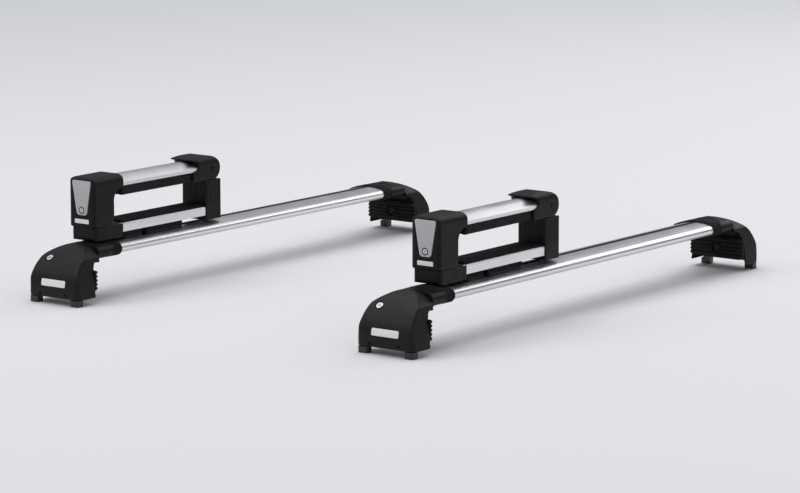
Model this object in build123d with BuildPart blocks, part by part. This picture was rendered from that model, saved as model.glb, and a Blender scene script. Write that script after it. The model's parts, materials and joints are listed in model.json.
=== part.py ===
"""Roof ski rack: two wing-shaped crossbars on four clamping feet, each bar carrying one ski carrier.

Frame: +X forward along the car, +Y to its left, +Z up. The origin is on the ground plane of the
clamp claws, midway between the bars and midway between the feet. All lengths are millimetres.
A foot is drawn with x along the bar's chord and y inboard from the cover's outer face. A carrier
is drawn with x along the bar's chord and y inboard from the lock housing's outer face.
"""
from build123d import *
import os
from math import asin, cos, degrees, radians, sin, sqrt

# Driving dimensions of the rack
BAR_SPACING = 685.0
REAR_HALF_SPAN = 482.5
FRONT_HALF_SPAN = 498.0
REAR_CARRIER_FACE = 409.0
FRONT_CARRIER_FACE = 394.0

# Wing section of the crossbars
BAR_MID_Z = 79.75
BAR_TOP_Z = 91.0
BAR_BOTTOM_Z = 2 * BAR_MID_Z - BAR_TOP_Z
WING_RADIUS = 109.0
WING_APEX_X = 6.5
NOSE_RADIUS = 8.0
TAIL_RADIUS = 1.6
BAR_WALL = 2.4
SLOT_WIDTH = 13.0
SLOT_CAVITY_WIDTH = 21.0
SLOT_FLOOR_Z = 82.5
SLOT_LIP_Z = 88.5
BAR_END_Y = 67.5
COLLAR_END_Y = 125.0

# Foot
FOOT_HALF_WIDTH = 55.0
FOOT_TOP_HALF_WIDTH = 45.0
COVER_WALL = 3.0
COVER_BOTTOM_Z = 11.1
COVER_TOP_Z = 93.6
COVER_INNER_Y = 66.0
COVER_SIDE_DEPTH = 44.0
WAIST_Z = 26.0
SHOULDER = Vector(20.0, 70.0)
HINGE_Y = 3.4
HINGE_Z = 14.5
HINGE_BARREL_R = 3.4
HINGE_ROD_R = 1.6
EAR_X = 27.0
EAR_WIDTH = 5.4
BOLT_Z = 38.0
BOLT_R = 4.0
CLAW_Y = 11.5
CLAW_THICKNESS = 3.7
LUG_HEIGHT = 10.3
RUNNING = 0.05

# Foot's side outline: an arc from the upright face to the shoulder, then a flatter arc to the bar
LOWER_ARC_R = (SHOULDER.X**2 + (SHOULDER.Y - WAIST_Z) ** 2) / (2 * SHOULDER.X)
LOWER_ARC_CENTRE = Vector(LOWER_ARC_R, WAIST_Z)
SHOULDER_NORMAL = (SHOULDER - LOWER_ARC_CENTRE).normalized()
COVER_END = Vector(COVER_INNER_Y, COVER_TOP_Z)
UPPER_ARC_R = (COVER_END - SHOULDER).length ** 2 / (-2 * (COVER_END - SHOULDER).dot(SHOULDER_NORMAL))
UPPER_ARC_CENTRE = SHOULDER - SHOULDER_NORMAL * UPPER_ARC_R

# Cover lock, square to the flatter arc
LOCK_R = 6.0
LOCK_X = -26.0
LOCK_Y = 23.0
LOCK_Z = UPPER_ARC_CENTRE.Y + sqrt(UPPER_ARC_R**2 - (UPPER_ARC_CENTRE.X - LOCK_Y) ** 2)
LOCK_TILT = degrees(asin((UPPER_ARC_CENTRE.X - LOCK_Y) / UPPER_ARC_R))

# Carrier
CARRIER_HALF_WIDTH = 27.0
HOUSING_BOTTOM_Z = 118.0
HOUSING_TOP_Z = 200.0
HOUSING_DEPTH = 50.0
HOUSING_WALL = 3.5
ARM_START = 52.0
ARM_END = 280.0
ARM_BOTTOM_Z = 180.0
ARM_TOP_Z = 196.5
ARM_HALF_WIDTH = 25.0
PAD_BOTTOM_Z = 163.0
HINGE_PIN_Y = 304.0
HINGE_PIN_Z = 181.0
HINGE_PIN_R = 4.0
KNUCKLE_R = 13.0
KNUCKLE_HALF_WIDTH = 21.0
CAP_START = 251.0
CAP_END = 322.0
CAP_TOP_Z = 205.0
LOWER_START = 72.0
LOWER_END = 284.0
LOWER_BOTTOM_Z = 103.0
LOWER_TOP_Z = 118.0
MOUTH_FLOOR_Z = 122.0
BRACKETS = ((77.0, 124.0), (135.0, 228.0))
BOLT_STATIONS = (100.0, 158.0, 205.0)
BASE_TOP_Z = 162.0
SLIDER_BOTTOM_Z = 120.0
CARRIER_BOTTOM_Z = 95.0
CAP_JOIN = 74.0
SLOT_BOLT_R = 3.0
STRIP_GAP = 10.0
KEY_Z = 146.0
KEY_R = 4.4
SPRING_Z = 183.0
SPRING_END = 20.0
PAWL_Y = 18.0
PAWL_Z = 152.0
PAWL_PIN_R = 2.0
PAWL_HALF_THICKNESS = 3.0

os.makedirs("parts", exist_ok=True)


def across(y):
    """Plane facing outboard at distance y inboard, with sketch axes (x, z)."""
    return Plane.XZ.offset(-y)


def place(name, part, location):
    """Write one piece at its place in the rack."""
    with BuildPart() as placed:
        with Locations(location):
            add(part)
    placed.part.label = name
    export_step(placed.part, f"parts/{name}.step")


def handed(part, face_y):
    """The piece as drawn for the right side, or its mirror image for the left side."""
    if face_y < 0:
        return part
    with BuildPart() as mirrored:
        mirror(part, about=Plane.XZ)
    return mirrored.part


def wing_section(grow=0.0):
    """Closed wing outline of the crossbar, round nose towards +X, grown by an even margin."""
    radius = WING_RADIUS + grow
    nose_r = NOSE_RADIUS + grow
    tail_r = max(TAIL_RADIUS + grow, 0.4)
    centre_z = BAR_TOP_Z - WING_RADIUS
    drop = BAR_MID_Z - centre_z
    nose_x = WING_APEX_X + sqrt((radius - nose_r) ** 2 - drop**2)
    tail_x = WING_APEX_X - sqrt((radius - tail_r) ** 2 - drop**2)

    def contact(centre_x, end_r):
        reach = Vector(centre_x - WING_APEX_X, drop).normalized()
        return Vector(centre_x, BAR_MID_Z) + reach * end_r

    def below(point):
        return Vector(point.X, 2 * BAR_MID_Z - point.Y)

    nose_top = contact(nose_x, nose_r)
    tail_top = contact(tail_x, tail_r)
    apex = Vector(WING_APEX_X, centre_z + radius)
    with BuildSketch() as section:
        with BuildLine():
            ThreePointArc(tail_top, apex, nose_top)
            ThreePointArc(nose_top, (nose_x + nose_r, BAR_MID_Z), below(nose_top))
            ThreePointArc(below(nose_top), below(apex), below(tail_top))
            ThreePointArc(below(tail_top), (tail_x - tail_r, BAR_MID_Z), tail_top)
        make_face()
    return section.sketch_local


def rectangle(x0, x1, z0, z1):
    """Rectangle between two x and two z values."""
    with BuildSketch() as box:
        with Locations(((x0 + x1) / 2, (z0 + z1) / 2)):
            Rectangle(x1 - x0, z1 - z0)
    return box.sketch_local


def t_slot():
    """Undercut slot along the top of the bar."""
    with BuildSketch() as slot:
        add(rectangle(-SLOT_WIDTH / 2, SLOT_WIDTH / 2, SLOT_LIP_Z - 1, BAR_TOP_Z + 3))
        add(rectangle(-SLOT_CAVITY_WIDTH / 2, SLOT_CAVITY_WIDTH / 2, SLOT_FLOOR_Z, SLOT_LIP_Z))
    return slot.sketch_local


def crossbar_part(half_length):
    """Extruded wing with two hollow side chambers, a middle chamber and the top slot."""
    slot_frame = SLOT_CAVITY_WIDTH / 2 + BAR_WALL
    with BuildSketch() as chambers:
        add(wing_section(-BAR_WALL))
        add(rectangle(-slot_frame, slot_frame, BAR_BOTTOM_Z, BAR_TOP_Z), mode=Mode.SUBTRACT)
        add(rectangle(-slot_frame + 2.6, slot_frame - 2.6, BAR_BOTTOM_Z + 3, SLOT_FLOOR_Z - 2.4))
    with BuildPart() as bar:
        with BuildSketch(across(-half_length)):
            add(wing_section())
            add(chambers.sketch_local, mode=Mode.SUBTRACT)
            add(t_slot(), mode=Mode.SUBTRACT)
        extrude(amount=-2 * half_length)
    return bar.part


def strip_part(y0, y1):
    """Rubber filler strip for one stretch of the slot."""
    with BuildPart() as strip:
        with BuildSketch(across(y0)):
            add(rectangle(-6.3, 6.3, SLOT_LIP_Z - 1.5, BAR_TOP_Z - 0.6))
            add(rectangle(-10, 10, SLOT_LIP_Z - 2.6, SLOT_LIP_Z - 0.2))
            with Locations((0, BAR_TOP_Z - 0.6)):
                Ellipse(6.3, 0.5)
        extrude(amount=-(y1 - y0))
    return strip.part


def collar_part():
    """Ribbed rubber collar around the bar where it leaves the foot."""
    rib_count = 6
    with BuildPart() as collar:
        with BuildSketch(across(BAR_END_Y + 20)):
            add(wing_section(1.7))
            add(wing_section(RUNNING), mode=Mode.SUBTRACT)
        extrude(amount=-(COLLAR_END_Y - BAR_END_Y - 20))
        for i in range(rib_count):
            with BuildSketch(across(101 + 3.6 * i)):
                add(wing_section(2.3))
                add(wing_section(1.0), mode=Mode.SUBTRACT)
            extrude(amount=-1.8)
        with BuildSketch(Plane.XY.offset(50)):
            add(socket_mouth(-0.3))
        extrude(amount=60, mode=Mode.INTERSECT)
    return collar.part


def socket_mouth(margin):
    """Plan outline of the curved mouth that the foot shell has around the bar."""
    with BuildSketch() as mouth:
        with Locations((0, 104 - margin)):
            Ellipse(38 + margin, 20)
        with Locations((0, 154 - margin)):
            Rectangle(100, 100)
    return mouth.sketch_local


def foot_front(inset):
    """Foot outline seen from outboard: tapered sides under a crowned top."""
    base = FOOT_HALF_WIDTH - inset
    top = FOOT_TOP_HALF_WIDTH - inset
    shoulder_z = 74.0 - 0.5 * inset
    crown_z = COVER_TOP_Z - inset
    with BuildSketch() as outline:
        with BuildLine():
            Polyline(
                (-top, shoulder_z), (-base + 2.5, 34), (-base, 12), (-base, 0),
                (base, 0), (base, 12), (base - 2.5, 34), (top, shoulder_z),
            )
            ThreePointArc((top, shoulder_z), (0, crown_z), (-top, shoulder_z))
        make_face()
    return outline.sketch_local


def foot_side(inset, inner_y):
    """Foot outline seen along the car, as sketch axes (y, z): upright face, shoulder, slope to the bar."""
    lower_r = LOWER_ARC_R - inset
    upper_r = UPPER_ARC_R - inset
    end_normal = (COVER_END - UPPER_ARC_CENTRE).normalized()
    middle_normal = (SHOULDER_NORMAL + end_normal).normalized()
    waist = LOWER_ARC_CENTRE - Vector(lower_r, 0)
    bulge = LOWER_ARC_CENTRE + (SHOULDER_NORMAL - Vector(1, 0)).normalized() * lower_r
    shoulder = LOWER_ARC_CENTRE + SHOULDER_NORMAL * lower_r
    end = UPPER_ARC_CENTRE + end_normal * upper_r
    inner = max(inner_y, end.X + 0.01)
    with BuildSketch() as outline:
        with BuildLine():
            ThreePointArc(waist, bulge, shoulder)
            ThreePointArc(shoulder, UPPER_ARC_CENTRE + middle_normal * upper_r, end)
            Polyline(end, (inner, end.Y), (inner, 0), (inset, 0), waist)
        make_face()
    return outline.sketch_local


def foot_plan(inset, inner_y):
    """Foot outline seen from above, with rounded outboard corners."""
    half = FOOT_HALF_WIDTH - inset
    radius = 12.0 - inset
    with BuildSketch() as outline:
        with BuildLine():
            Line((-half, inner_y), (-half, inset + radius))
            RadiusArc((-half, inset + radius), (-half + radius, inset), -radius)
            Line((-half + radius, inset), (half - radius, inset))
            RadiusArc((half - radius, inset), (half, inset + radius), -radius)
            Line((half, inset + radius), (half, inner_y))
            Line((half, inner_y), (-half, inner_y))
        make_face()
    return outline.sketch_local


def foot_form(inset, inner_y):
    """Solid foot envelope: the space common to its three outlines."""
    with BuildPart() as form:
        with BuildSketch(Plane.YZ):
            add(foot_side(inset, inner_y))
        extrude(amount=FOOT_HALF_WIDTH + 5, both=True)
        with BuildSketch(across(-5)):
            add(foot_front(inset))
        extrude(amount=-(inner_y + 10), mode=Mode.INTERSECT)
        with BuildSketch(Plane.XY):
            add(foot_plan(inset, inner_y))
        extrude(amount=COVER_TOP_Z + 5, mode=Mode.INTERSECT)
    return form.part


def foot_cover_part():
    """Outer shell of the foot, with its hinge barrel along the bottom edge and the lock's boss."""
    lock_plane = Plane(
        origin=(LOCK_X, LOCK_Y, LOCK_Z),
        x_dir=(1, 0, 0),
        z_dir=(0, -sin(radians(LOCK_TILT)), cos(radians(LOCK_TILT))),
    )
    with BuildPart() as cover:
        add(foot_form(0, COVER_INNER_Y))
        add(foot_form(COVER_WALL, COVER_INNER_Y + 14), mode=Mode.SUBTRACT)
        with BuildSketch(Plane.YZ):
            with BuildLine():
                Polyline(
                    (COVER_SIDE_DEPTH, -5), (COVER_SIDE_DEPTH, 52), (52, 66), (COVER_INNER_Y, 72),
                    (90, 72), (90, -5), (COVER_SIDE_DEPTH, -5),
                )
            make_face()
        extrude(amount=FOOT_HALF_WIDTH + 5, both=True, mode=Mode.SUBTRACT)
        with Locations((0, COVER_SIDE_DEPTH, COVER_BOTTOM_Z / 2)):
            Box(130, 130, COVER_BOTTOM_Z, mode=Mode.SUBTRACT)
        with Locations((0, 0, HINGE_Z / 2)):
            Box(2 * FOOT_HALF_WIDTH - 12, 2 * HINGE_Y, HINGE_Z, mode=Mode.SUBTRACT)
        with BuildSketch(Plane.YZ):
            with Locations((HINGE_Y, HINGE_Z)):
                Circle(HINGE_BARREL_R)
        extrude(amount=FOOT_HALF_WIDTH - 6, both=True)
        with Locations((-EAR_X, HINGE_Y, HINGE_Z), (EAR_X, HINGE_Y, HINGE_Z)):
            Box(EAR_WIDTH + 0.8, 2 * HINGE_BARREL_R + 0.6, 2 * HINGE_BARREL_R + 1.4, mode=Mode.SUBTRACT)
        with BuildSketch(Plane.YZ):
            with Locations((HINGE_Y, HINGE_Z)):
                Circle(HINGE_ROD_R + RUNNING)
        extrude(amount=EAR_X + 12.4, both=True, mode=Mode.SUBTRACT)
        with BuildSketch(lock_plane.offset(-12)):
            Circle(LOCK_R + 2.6)
        extrude(amount=12)
        add(foot_form(-6, COVER_INNER_Y + 14) - foot_form(0, COVER_INNER_Y + 20), mode=Mode.SUBTRACT)
        with BuildSketch(lock_plane.offset(-20)):
            Circle(LOCK_R + RUNNING)
        extrude(amount=40, mode=Mode.SUBTRACT)
    return cover.part


def cover_lock_part():
    """Key cylinder of a foot cover: keyway in its face, locking cam at its inner end."""
    lock_plane = Plane(
        origin=(LOCK_X, LOCK_Y, LOCK_Z),
        x_dir=(1, 0, 0),
        z_dir=(0, -sin(radians(LOCK_TILT)), cos(radians(LOCK_TILT))),
    )
    with BuildPart() as lock:
        with BuildSketch(lock_plane.offset(-12.4)):
            Circle(LOCK_R)
        extrude(amount=12.2)
        fillet(lock.edges().filter_by(GeomType.CIRCLE).sort_by(Axis.Z)[-1], 0.6)
        with BuildSketch(lock_plane.offset(-0.2)):
            SlotOverall(6.4, 1.3)
        extrude(amount=-5, mode=Mode.SUBTRACT)
        with BuildSketch(lock_plane.offset(-15)):
            with Locations((3, 0)):
                SlotOverall(17, 6)
        extrude(amount=2.6)
    return lock.part


def foot_base_part():
    """Load-bearing foot body: saddle over the rail, neck, bar socket and the cover's hinge rod."""
    pocket_half = 17.0
    with BuildPart() as base:
        with BuildSketch(Plane.YZ):
            with BuildLine():
                Polyline((62, 88), (46, 71), (34, 56), (16, 56), (16, 24), (46, 24), (46, 55))
                notch = ThreePointArc((46, 55), (49.5, 63), (58, 65.5))
                Polyline(notch @ 1, (COVER_INNER_Y + 2, 65.5), (COVER_INNER_Y + 2, 88), (62, 88))
            make_face()
        extrude(amount=FOOT_HALF_WIDTH, both=True)
        add(foot_form(COVER_WALL + 1.2, 85), mode=Mode.INTERSECT)
        with BuildSketch(across(COVER_INNER_Y + 0.4)):
            add(wing_section(2.6))
        extrude(amount=-(104 - COVER_INNER_Y - 0.4))
        with BuildSketch(Plane.XY.offset(50)):
            add(socket_mouth(0))
        extrude(amount=60, mode=Mode.SUBTRACT)
        with BuildSketch(across(BAR_END_Y)):
            add(wing_section(RUNNING))
        extrude(amount=-60, mode=Mode.SUBTRACT)
        with BuildSketch(across(10)):
            add(rectangle(-pocket_half, pocket_half, BOLT_Z - 10, BOLT_Z + 10))
        extrude(amount=-30, mode=Mode.SUBTRACT)
        with BuildSketch(across(30)):
            with Locations((0, BOLT_Z)):
                Circle(BOLT_R + RUNNING)
        extrude(amount=-30, mode=Mode.SUBTRACT)
        for x in (-EAR_X, EAR_X):
            with BuildSketch(Plane.YZ.offset(x)):
                with BuildLine():
                    Polyline((5.6, 12.5), (16.5, 25), (16.5, 33), (1.6, 17), (5.6, 12.5))
                make_face()
                with Locations((HINGE_Y, HINGE_Z)):
                    Circle(HINGE_BARREL_R - 0.3)
            extrude(amount=EAR_WIDTH / 2, both=True)
        with BuildSketch(Plane.YZ):
            with Locations((HINGE_Y, HINGE_Z)):
                Circle(HINGE_ROD_R)
        extrude(amount=EAR_X + 12, both=True)
    return base.part


def foot_pad_part():
    """Rubber pad under and behind the saddle, with grip ribs on its inner side."""
    half = FOOT_HALF_WIDTH - 10
    rib_pitch = 6.5
    with BuildPart() as pad:
        with Locations((0, 33.2, 22)):
            Box(2 * half, 34.6, 4)
        with Locations((0, 48.2, 38)):
            Box(2 * half, 4, 36)
        for i in range(5):
            with Locations((0, 50.6, 25.5 + rib_pitch * i)):
                Box(2 * half, 2.4, 3.4)
        fillet(pad.edges().filter_by(Axis.Z).group_by(Axis.Y)[-1], 1.0)
        with BuildSketch(across(40)):
            with Locations((0, BOLT_Z)):
                Circle(10)
        extrude(amount=-20, mode=Mode.SUBTRACT)
    return pad.part


def clamp_bolt_part():
    """Socket-head clamp bolt, held lengthwise in the base by a riveted end flange."""
    head_r = 6.5
    with BuildPart() as bolt:
        with BuildSketch(across(7)):
            with Locations((0, BOLT_Z)):
                Circle(head_r)
        extrude(amount=-4)
        chamfer(bolt.edges().filter_by(GeomType.CIRCLE).sort_by(Axis.Y)[0], 0.6)
        with BuildSketch(across(7)):
            with Locations((0, BOLT_Z)):
                RegularPolygon(3.0, 6)
        extrude(amount=-3, mode=Mode.SUBTRACT)
        with BuildSketch(across(11)):
            with Locations((0, BOLT_Z)):
                Circle(BOLT_R)
        extrude(amount=-38)
        with BuildSketch(across(46.3)):
            with Locations((0, BOLT_Z)):
                Circle(7)
        extrude(amount=-2.7)
    return bolt.part


def rail_claw_part():
    """Clamp jaw outside the rail: nut boss on the bolt, wings past the cover's ears, two lugs."""
    wing_half = FOOT_HALF_WIDTH - 7
    with BuildPart() as claw:
        with BuildSketch(across(CLAW_Y)):
            add(rectangle(-wing_half, wing_half, 23, 39))
            add(rectangle(-wing_half, -35, LUG_HEIGHT - 2, 24))
            add(rectangle(35, wing_half, LUG_HEIGHT - 2, 24))
            add(rectangle(-EAR_X - 4.5, -EAR_X + 4.5, 20, 35), mode=Mode.SUBTRACT)
            add(rectangle(EAR_X - 4.5, EAR_X + 4.5, 20, 35), mode=Mode.SUBTRACT)
        extrude(amount=-CLAW_THICKNESS)
        with Locations((-43.5, 8.6, LUG_HEIGHT / 2), (43.5, 8.6, LUG_HEIGHT / 2)):
            Box(17, 13.2, LUG_HEIGHT)
        fillet(claw.edges().filter_by(Axis.Z).group_by(Axis.Y)[0], 3)
        with BuildSketch(across(CLAW_Y)):
            with Locations((0, BOLT_Z)):
                Circle(9.4)
        extrude(amount=-22)
        with BuildSketch(across(CLAW_Y - 1)):
            with Locations((0, BOLT_Z)):
                Circle(7.2)
        extrude(amount=-7.5, mode=Mode.SUBTRACT)
        with BuildSketch(across(CLAW_Y)):
            with Locations((0, BOLT_Z)):
                Circle(BOLT_R + RUNNING)
        extrude(amount=-30, mode=Mode.SUBTRACT)
    return claw.part


def arm_section(grow=0.0):
    """Upper arm outline: flat underside, upright flanks and a rounded top, as sketch axes (x, z)."""
    half = ARM_HALF_WIDTH + grow
    flank_z = ARM_BOTTOM_Z + 5.5
    bottom_z = ARM_BOTTOM_Z - grow
    with BuildSketch() as section:
        with BuildLine():
            Polyline((-half, flank_z), (-half, bottom_z), (half, bottom_z), (half, flank_z))
            ThreePointArc((half, flank_z), (0, ARM_TOP_Z + grow), (-half, flank_z))
        make_face()
    return section.sketch_local


def upper_profile_part():
    """Extruded arm with a hollow chamber and a keyhole groove for the pad below."""
    with BuildPart() as profile:
        with BuildSketch(across(ARM_START + 0.5)):
            add(arm_section())
            add(arm_section(-2), mode=Mode.SUBTRACT)
            add(rectangle(-8, 8, ARM_BOTTOM_Z, ARM_BOTTOM_Z + 8))
            add(rectangle(-6, 6, ARM_BOTTOM_Z + 2, ARM_BOTTOM_Z + 6), mode=Mode.SUBTRACT)
            add(rectangle(-3, 3, ARM_BOTTOM_Z - 1, ARM_BOTTOM_Z + 3), mode=Mode.SUBTRACT)
        extrude(amount=-(ARM_END - ARM_START - 0.5))
    return profile.part


def upper_pad_part():
    """Soft rubber pad under the arm, with lengthwise ribs and a root in the arm's groove."""
    with BuildPart() as pad:
        with BuildSketch(across(CAP_JOIN + 0.5)):
            add(rectangle(-23.5, 23.5, PAD_BOTTOM_Z + 3, ARM_BOTTOM_Z - 0.1))
            add(rectangle(-2.8, 2.8, ARM_BOTTOM_Z - 1, ARM_BOTTOM_Z + 4))
            add(rectangle(-5.6, 5.6, ARM_BOTTOM_Z + 2.3, ARM_BOTTOM_Z + 5.5))
            with GridLocations(11.75, 1, 4, 1):
                with Locations((0, PAD_BOTTOM_Z + 4)):
                    Ellipse(5.6, 4)
            with Locations((0, PAD_BOTTOM_Z + 10.5)):
                with GridLocations(22, 1, 2, 1):
                    Ellipse(7, 3, mode=Mode.SUBTRACT)
        extrude(amount=-(CAP_START - CAP_JOIN - 1))
    return pad.part


def button_outline(grow=0.0):
    """Rounded trapezoid of the release button, wide at the top, as sketch axes (x, z)."""
    with BuildSketch() as outline:
        with BuildLine():
            Polyline(
                (-10.5, 137.5), (10.5, 137.5), (20.5, 194.5), (-20.5, 194.5), (-10.5, 137.5)
            )
        make_face()
        fillet(outline.vertices().group_by(Axis.Y)[0], 6)
        fillet(outline.vertices().group_by(Axis.Y)[-1], 3)
        if grow != 0:
            offset(amount=grow)
    return outline.sketch_local


def rounded_front(half, y0, y1, radius):
    """Plan outline, as sketch axes (x, y), whose two outboard corners are rounded."""
    with BuildSketch() as outline:
        add(rectangle(-half, half, y0, y1))
        fillet(outline.vertices().group_by(Axis.Y)[0], radius)
    return outline.sketch_local


def rounded_top(half, bottom, top, radius):
    """Upright rectangle whose two top corners are rounded, as sketch axes (x, z)."""
    with BuildSketch() as outline:
        add(rectangle(-half, half, bottom, top))
        fillet(outline.vertices().group_by(Axis.Y)[-1], radius)
    return outline.sketch_local


def lock_housing_part():
    """Hollow lock housing at the arm's free end: button window, latch chamber, arm socket."""
    chamber_depth = HOUSING_DEPTH - 2 * HOUSING_WALL
    chamber_height = 84.0
    with BuildPart() as housing:
        with BuildSketch(Plane.YZ):
            with BuildLine():
                face = Polyline(
                    (0, HOUSING_TOP_Z - 4.5), (0, HOUSING_BOTTOM_Z), (46, HOUSING_BOTTOM_Z),
                    (HOUSING_DEPTH, 130), (HOUSING_DEPTH, 155),
                )
                neck = ThreePointArc(face @ 1, (54.5, 170), (66, ARM_BOTTOM_Z - 3))
                back = Polyline(neck @ 1, (CAP_JOIN, ARM_BOTTOM_Z - 3), (CAP_JOIN, HOUSING_TOP_Z - 9))
                crown = ThreePointArc(back @ 1, (71.5, HOUSING_TOP_Z - 1.8), (64, HOUSING_TOP_Z + 0.6))
                top = Line(crown @ 1, (9, HOUSING_TOP_Z))
                ThreePointArc(top @ 1, (2.4, HOUSING_TOP_Z - 1.5), face @ 0)
            make_face()
        extrude(amount=CARRIER_HALF_WIDTH, both=True)
        with BuildSketch(across(-1)):
            add(rounded_top(CARRIER_HALF_WIDTH, 110, HOUSING_TOP_Z + 1, 13))
        extrude(amount=-85, mode=Mode.INTERSECT)
        with BuildSketch(Plane.XY.offset(100)):
            add(rounded_front(CARRIER_HALF_WIDTH, 0, 80, 5))
        extrude(amount=130, mode=Mode.INTERSECT)
        with Locations((0, HOUSING_DEPTH / 2, HOUSING_TOP_Z - 4 - chamber_height / 2)):
            Box(2 * (CARRIER_HALF_WIDTH - HOUSING_WALL), chamber_depth, chamber_height, mode=Mode.SUBTRACT)
        with BuildSketch(across(-1)):
            add(button_outline(0.4))
        extrude(amount=-6, mode=Mode.SUBTRACT)
        with BuildSketch(across(ARM_START)):
            add(arm_section(0.1))
        extrude(amount=-40, mode=Mode.SUBTRACT)
        with BuildSketch(across(SPRING_END)):
            with Locations((0, SPRING_Z)):
                Circle(6)
        extrude(amount=-(HOUSING_DEPTH - SPRING_END - 1))
        with BuildSketch(Plane.YZ):
            with Locations((PAWL_Y, PAWL_Z)):
                Circle(PAWL_PIN_R)
        extrude(amount=CARRIER_HALF_WIDTH - 2, both=True)
    return housing.part


def release_button_part():
    """Press plate with a bore for the key cylinder, a pusher stem and a spring seat."""
    with BuildPart() as button:
        with BuildSketch(across(-0.6)):
            add(button_outline())
        extrude(amount=-5.6)
        fillet(button.faces().sort_by(Axis.Y)[0].edges(), 0.8)
        with BuildSketch(across(5)):
            with Locations((0, PAWL_Z + 21)):
                SlotOverall(24, 5)
        extrude(amount=-(PAWL_Y - PAWL_HALF_THICKNESS - 0.4 - 5))
        with BuildSketch(across(5)):
            with Locations((0, SPRING_Z)):
                Circle(2.6)
        extrude(amount=-4)
        with BuildSketch(across(-2)):
            with Locations((0, KEY_Z)):
                Circle(KEY_R + RUNNING)
        extrude(amount=-12, mode=Mode.SUBTRACT)
    return button.part


def button_lock_part():
    """Key cylinder in the lower end of the release button."""
    with BuildPart() as lock:
        with BuildSketch(across(-0.9)):
            with Locations((0, KEY_Z)):
                Circle(KEY_R)
        extrude(amount=-8.4)
        fillet(lock.edges().filter_by(GeomType.CIRCLE).sort_by(Axis.Y)[0], 0.5)
        with BuildSketch(across(-0.9)):
            with Locations((0, KEY_Z)):
                SlotOverall(4.6, 1.1, rotation=90)
        extrude(amount=-4, mode=Mode.SUBTRACT)
    return lock.part


def latch_pawl_part():
    """Rocking pawl on a cross pin: a crossbar above the pin, two prongs with noses below it."""
    half = PAWL_HALF_THICKNESS
    with BuildPart() as pawl:
        with Locations((0, PAWL_Y, PAWL_Z + 13)):
            Box(30, 2 * half, 23)
        with Locations((-10, PAWL_Y, PAWL_Z - 8), (10, PAWL_Y, PAWL_Z - 8)):
            Box(6, 2 * half, 24)
        with Locations((-10, PAWL_Y + half + 0.6, PAWL_Z - 17.5), (10, PAWL_Y + half + 0.6, PAWL_Z - 17.5)):
            Box(6, 1.2, 5)
        with BuildSketch(Plane.YZ):
            with Locations((PAWL_Y, PAWL_Z)):
                Circle(5)
        extrude(amount=15, both=True)
        with Locations((0, PAWL_Y, PAWL_Z - 6.5)):
            Box(13.6, 4 * half, 14, mode=Mode.SUBTRACT)
        with BuildSketch(Plane.YZ):
            with Locations((PAWL_Y, PAWL_Z)):
                Circle(PAWL_PIN_R + RUNNING)
        extrude(amount=20, both=True, mode=Mode.SUBTRACT)
    return pawl.part


def button_spring_part():
    """Coil spring between the button and the housing's boss."""
    coil_r = 4.2
    wire_r = 0.45
    length = SPRING_END - 5 - 2 * wire_r - 0.4
    with BuildPart() as coil:
        with BuildLine():
            path = Helix(pitch=length / 5, height=length, radius=coil_r)
        with BuildSketch(Plane(origin=path @ 0, z_dir=path % 0)):
            Circle(wire_r)
        sweep(is_frenet=True)
    with BuildPart() as spring:
        with Locations(Location((0, 5 + wire_r + 0.2, SPRING_Z), (-90, 0, 0))):
            add(coil.part)
    return spring.part


def hinge_cap_part():
    """Cap over the arm's hinge end: arm socket, two cheeks around the knuckle, curved front mouth."""
    mouth_z = ARM_BOTTOM_Z + 9.5
    with BuildPart() as cap:
        with BuildSketch(Plane.YZ):
            with BuildLine():
                Polyline((HINGE_PIN_Y, PAD_BOTTOM_Z), (CAP_START, PAD_BOTTOM_Z), (CAP_START, CAP_TOP_Z - 4))
                crown = ThreePointArc((CAP_START, CAP_TOP_Z - 4), (282, CAP_TOP_Z), (306, CAP_TOP_Z - 3))
                ThreePointArc(crown @ 1, (317.5, CAP_TOP_Z - 10.5), (CAP_END, CAP_TOP_Z - 21))
                Line((CAP_END, CAP_TOP_Z - 21), (CAP_END, HINGE_PIN_Z))
                RadiusArc((CAP_END, HINGE_PIN_Z), (HINGE_PIN_Y, PAD_BOTTOM_Z), CAP_END - HINGE_PIN_Y)
            make_face()
        extrude(amount=CARRIER_HALF_WIDTH, both=True)
        with BuildSketch(across(CAP_START - 1)):
            add(rounded_top(CARRIER_HALF_WIDTH, PAD_BOTTOM_Z - 5, CAP_TOP_Z, 14))
        extrude(amount=-(CAP_END - CAP_START + 2), mode=Mode.INTERSECT)
        with BuildSketch(Plane.YZ):
            with Locations((CAP_START, mouth_z)):
                Ellipse(15, 9)
        extrude(amount=CARRIER_HALF_WIDTH + 1, both=True, mode=Mode.SUBTRACT)
        with BuildSketch(across(CAP_START - 5)):
            add(arm_section(0.1))
        extrude(amount=-(ARM_END + 5.5 - CAP_START), mode=Mode.SUBTRACT)
        with BuildSketch(Plane.YZ):
            with Locations((HINGE_PIN_Y, HINGE_PIN_Z)):
                Circle(KNUCKLE_R + 0.6)
            with Locations((HINGE_PIN_Y, HINGE_PIN_Z - 20)):
                Rectangle(2 * KNUCKLE_R + 1.2, 40)
            with Locations((HINGE_PIN_Y + 15, HINGE_PIN_Z)):
                Rectangle(30, 2 * KNUCKLE_R + 1.2)
        extrude(amount=KNUCKLE_HALF_WIDTH + 0.4, both=True, mode=Mode.SUBTRACT)
        with BuildSketch(Plane.YZ):
            with Locations((HINGE_PIN_Y, HINGE_PIN_Z)):
                Circle(HINGE_PIN_R + RUNNING)
        extrude(amount=CARRIER_HALF_WIDTH + 1, both=True, mode=Mode.SUBTRACT)
    return cap.part


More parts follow.
